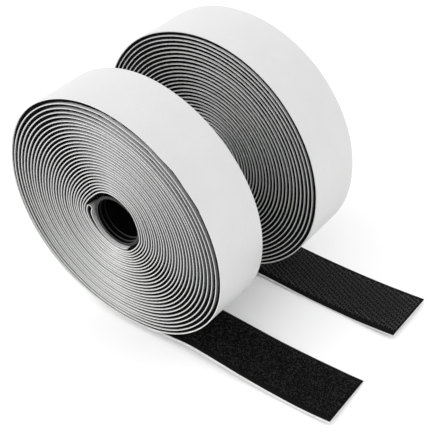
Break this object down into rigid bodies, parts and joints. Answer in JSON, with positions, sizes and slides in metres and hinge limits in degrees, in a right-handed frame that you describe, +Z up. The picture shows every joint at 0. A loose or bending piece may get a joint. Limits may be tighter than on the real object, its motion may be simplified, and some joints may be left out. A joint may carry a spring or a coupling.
{
  "type": "hook and loop tape roll",
  "caption": "Self-adhesive hook tape and loop tape, each wound white liner outwards on a plastic core, standing on edge with its free end laid out.",
  "frame": {"origin": "on the floor below the middle of the pair's bounding box", "axes": "+X along the free ends, towards their cut edges; +Y along the winding axes, from the loop roll to the hook roll; +Z up"},
  "size_m": [0.1456, 0.08, 0.1068],
  "materials": {
    "woven_tape": "matt black nylon, soft pile on the loop roll and stiff hooks on the hook roll",
    "adhesive": "clear to pale pressure-sensitive film",
    "liner": "smooth white release film, satin",
    "core": "moulded black plastic, satin"
  },
  "bodies": {
    "wound_tapes": {"loop_tape": "woven_tape", "loop_adhesive": "adhesive", "loop_liner": "liner", "hook_tape": "woven_tape", "hook_adhesive": "adhesive", "hook_liner": "liner"},
    "loop_core": {"loop_core": "core"},
    "hook_core": {"hook_core": "core"}
  },
  "joints": [
    {"name": "loop_core_spin", "type": "hinge", "parent": "wound_tapes", "child": "loop_core", "pos_m": [-0.01853, -0.02748, 0.05414], "axis": [0, 1, 0], "continuous": true},
    {"name": "hook_core_spin", "type": "hinge", "parent": "wound_tapes", "child": "hook_core", "pos_m": [-0.0149, 0.02569, 0.05331], "axis": [0.0332, 0.9995, 0], "continuous": true}
  ]
}
